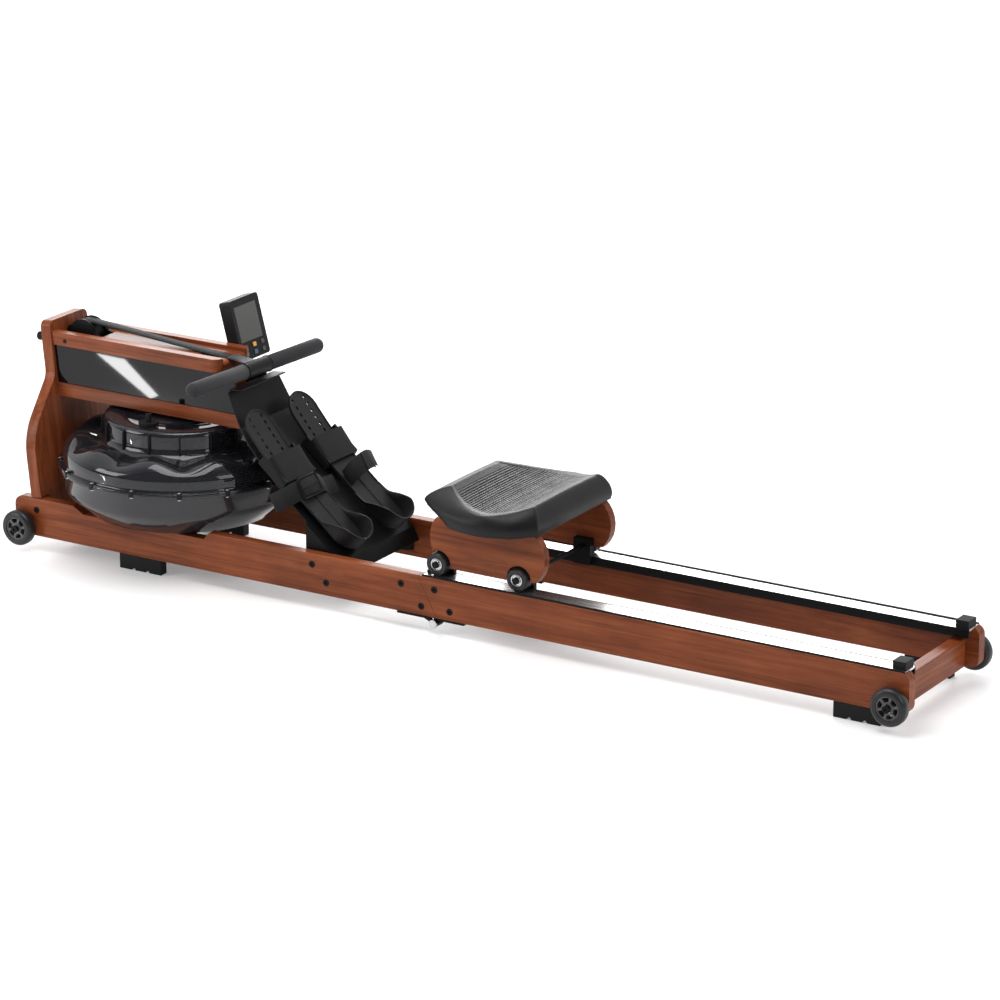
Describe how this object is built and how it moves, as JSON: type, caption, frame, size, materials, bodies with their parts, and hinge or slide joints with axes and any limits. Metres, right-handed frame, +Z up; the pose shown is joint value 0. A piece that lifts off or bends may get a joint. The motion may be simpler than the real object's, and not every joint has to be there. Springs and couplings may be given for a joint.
{
  "type": "rowing machine",
  "caption": "Folding water rowing machine: wooden side rails, a water tank with impeller, strap drive with pull handle, sliding seat, footboard, monitor and transport wheels.",
  "frame": {"origin": "centre of the footprint of the whole machine, at floor level", "axes": "+X from the tank end to the seat end, +Y to the rower's right when seen from above with the tank ahead at -X, +Z up"},
  "size_m": [2.123, 0.52, 0.5388],
  "materials": {
    "stained_wood": "satin reddish-brown stain",
    "gloss_panel": "high gloss black",
    "black_steel": "matte black powder coat",
    "rubber": "matte",
    "smoked_tank": "smoked transparent",
    "bright_steel": "satin",
    "zinc_steel": "grey zinc",
    "black_plastic": "fine texture",
    "webbing": "woven",
    "foam_grip": "matte foam",
    "display_glass": "grey-green display window",
    "button_dark": "satin",
    "button_orange": "satin",
    "button_blue": "satin",
    "track_aluminium": "satin anodised",
    "seat_foam": "moulded skin",
    "roller_tyre": "smooth",
    "wheel_tyre": "smooth"
  },
  "bodies": {
    "front_frame": {"front_rail_left": "stained_wood", "front_rail_right": "stained_wood", "front_post": "stained_wood", "top_beam_left": "stained_wood", "top_beam_right": "stained_wood", "lower_beams": "stained_wood", "deck": "stained_wood", "rear_block": "stained_wood", "side_panels": "gloss_panel", "front_bolts": "black_steel", "front_feet": "rubber", "tank_lower_shell": "smoked_tank", "tank_upper_shell": "smoked_tank", "tank_bolts": "bright_steel", "bearing_bridge": "zinc_steel", "recoil_housing": "black_plastic", "pulley_bracket": "black_steel", "inner_strap": "webbing", "footboard": "black_steel", "foot_bases": "black_plastic", "toe_straps": "webbing", "monitor_bracket": "black_steel", "front_hinge_leaves": "black_steel", "hinge_pins": "bright_steel"},
    "tank_plug": {"fill_plug": "black_plastic"},
    "impeller": {"impeller": "black_plastic"},
    "spool": {"strap_spool": "black_plastic"},
    "pulley": {"front_pulley": "black_plastic"},
    "strap": {"pull_strap": "webbing"},
    "handle": {"strap_clip": "zinc_steel", "handle_bar": "bright_steel", "handle_grips": "foam_grip", "handle_sleeve": "black_plastic"},
    "monitor": {"monitor_housing": "black_plastic", "monitor_lens": "display_glass"},
    "foot_rest_left": {"foot_slider_left": "black_plastic"},
    "foot_rest_right": {"foot_slider_right": "black_plastic"},
    "rear_frame": {"rear_hinge_leaves": "black_steel", "rear_rail_left": "stained_wood", "rear_rail_right": "stained_wood", "rear_crosspiece": "stained_wood", "tracks": "track_aluminium", "track_stops": "rubber", "rear_bolts": "black_steel", "rear_feet": "rubber"},
    "seat": {"seat_pad": "seat_foam", "seat_sides": "stained_wood", "seat_brackets": "black_steel"},
    "seat_rollers_front": {"seat_rollers_front": "roller_tyre"},
    "seat_rollers_rear": {"seat_rollers_rear": "roller_tyre"},
    "power_button": {"power_button": "button_dark"},
    "mode_button": {"mode_button": "button_orange"},
    "set_button": {"set_button": "button_dark"},
    "reset_button": {"reset_button": "button_dark"},
    "up_button": {"up_button": "button_blue"},
    "down_button": {"down_button": "button_dark"},
    "front_wheel_left": {"front_wheel_left": "wheel_tyre"},
    "front_wheel_right": {"front_wheel_right": "wheel_tyre"},
    "rear_wheel_left": {"rear_wheel_left": "wheel_tyre"},
    "rear_wheel_right": {"rear_wheel_right": "wheel_tyre"}
  },
  "joints": [
    {"name": "fold_hinge", "type": "hinge", "parent": "front_frame", "child": "rear_frame", "pos_m": [-0.0011, 0, 0.02], "axis": [0, 1, 0], "range_deg": [0, 165]},
    {"name": "seat_slide", "type": "slide", "parent": "rear_frame", "child": "seat", "axis": [1, 0, 0], "range_m": [0, 0.8]},
    {"name": "front_roller_turn", "type": "hinge", "parent": "seat", "child": "seat_rollers_front", "pos_m": [-0.0035, 0, 0.1405], "axis": [0, 1, 0], "continuous": true},
    {"name": "rear_roller_turn", "type": "hinge", "parent": "seat", "child": "seat_rollers_rear", "pos_m": [0.1835, 0, 0.1405], "axis": [0, 1, 0], "continuous": true},
    {"name": "strap_swing", "type": "hinge", "parent": "front_frame", "child": "strap", "pos_m": [-0.9625, 0, 0.439], "axis": [0, -1, 0], "range_deg": [0, 20]},
    {"name": "handle_pull", "type": "slide", "parent": "strap", "child": "handle", "axis": [0.9968, 0, -0.0802], "range_m": [0, 0.9], "stiffness_N_per_m": 20, "springref_m": -0.6, "deforming": ["pull_strap"]},
    {"name": "pulley_turn", "type": "hinge", "parent": "front_frame", "child": "pulley", "pos_m": [-0.9625, 0, 0.439], "axis": [0, 1, 0], "continuous": true},
    {"name": "spool_turn", "type": "hinge", "parent": "front_frame", "child": "spool", "pos_m": [-0.7255, 0, 0.359], "axis": [0, 0, 1], "continuous": true},
    {"name": "impeller_turn", "type": "hinge", "parent": "front_frame", "child": "impeller", "pos_m": [-0.7255, 0, 0.16], "axis": [0, 0, 1], "continuous": true},
    {"name": "plug_pull", "type": "slide", "parent": "front_frame", "child": "tank_plug", "axis": [0, 0, 1], "range_m": [0, 0.02]},
    {"name": "monitor_tilt", "type": "hinge", "parent": "front_frame", "child": "monitor", "pos_m": [-0.6475, 0.117, 0.436], "axis": [0, 1, 0], "range_deg": [-20, 15]},
    {"name": "left_foot_slide", "type": "slide", "parent": "front_frame", "child": "foot_rest_left", "axis": [0.7593, 0, -0.6508], "range_m": [0, 0.064]},
    {"name": "right_foot_slide", "type": "slide", "parent": "front_frame", "child": "foot_rest_right", "axis": [0.7593, 0, -0.6508], "range_m": [0, 0.064]},
    {"name": "power_press", "type": "slide", "parent": "monitor", "child": "power_button", "axis": [-0.9677, 0, -0.2521], "range_m": [0, 0.0008], "stiffness_N_per_m": 500},
    {"name": "mode_press", "type": "slide", "parent": "monitor", "child": "mode_button", "axis": [-0.9677, 0, -0.2521], "range_m": [0, 0.0008], "stiffness_N_per_m": 500},
    {"name": "set_press", "type": "slide", "parent": "monitor", "child": "set_button", "axis": [-0.9677, 0, -0.2521], "range_m": [0, 0.0008], "stiffness_N_per_m": 500},
    {"name": "reset_press", "type": "slide", "parent": "monitor", "child": "reset_button", "axis": [-0.9677, 0, -0.2521], "range_m": [0, 0.0008], "stiffness_N_per_m": 500},
    {"name": "up_press", "type": "slide", "parent": "monitor", "child": "up_button", "axis": [-0.9677, 0, -0.2521], "range_m": [0, 0.0008], "stiffness_N_per_m": 500},
    {"name": "down_press", "type": "slide", "parent": "monitor", "child": "down_button", "axis": [-0.9677, 0, -0.2521], "range_m": [0, 0.0008], "stiffness_N_per_m": 500},
    {"name": "front_wheel_left_turn", "type": "hinge", "parent": "front_frame", "child": "front_wheel_left", "pos_m": [-1.0235, -0.1812, 0.051], "axis": [0, 1, 0], "continuous": true},
    {"name": "front_wheel_right_turn", "type": "hinge", "parent": "front_frame", "child": "front_wheel_right", "pos_m": [-1.0235, 0.1812, 0.051], "axis": [0, 1, 0], "continuous": true},
    {"name": "rear_wheel_left_turn", "type": "hinge", "parent": "rear_frame", "child": "rear_wheel_left", "pos_m": [1.0235, -0.1812, 0.051], "axis": [0, 1, 0], "continuous": true},
    {"name": "rear_wheel_right_turn", "type": "hinge", "parent": "rear_frame", "child": "rear_wheel_right", "pos_m": [1.0235, 0.1812, 0.051], "axis": [0, 1, 0], "continuous": true}
  ],
  "couplings": [
    {"joint": "front_roller_turn", "follows": "seat_slide", "rad_per_m": 42.553},
    {"joint": "rear_roller_turn", "follows": "seat_slide", "rad_per_m": 42.553},
    {"joint": "pulley_turn", "follows": "handle_pull", "rad_per_m": 29.851},
    {"joint": "spool_turn", "follows": "handle_pull", "rad_per_m": 33.898}
  ]
}
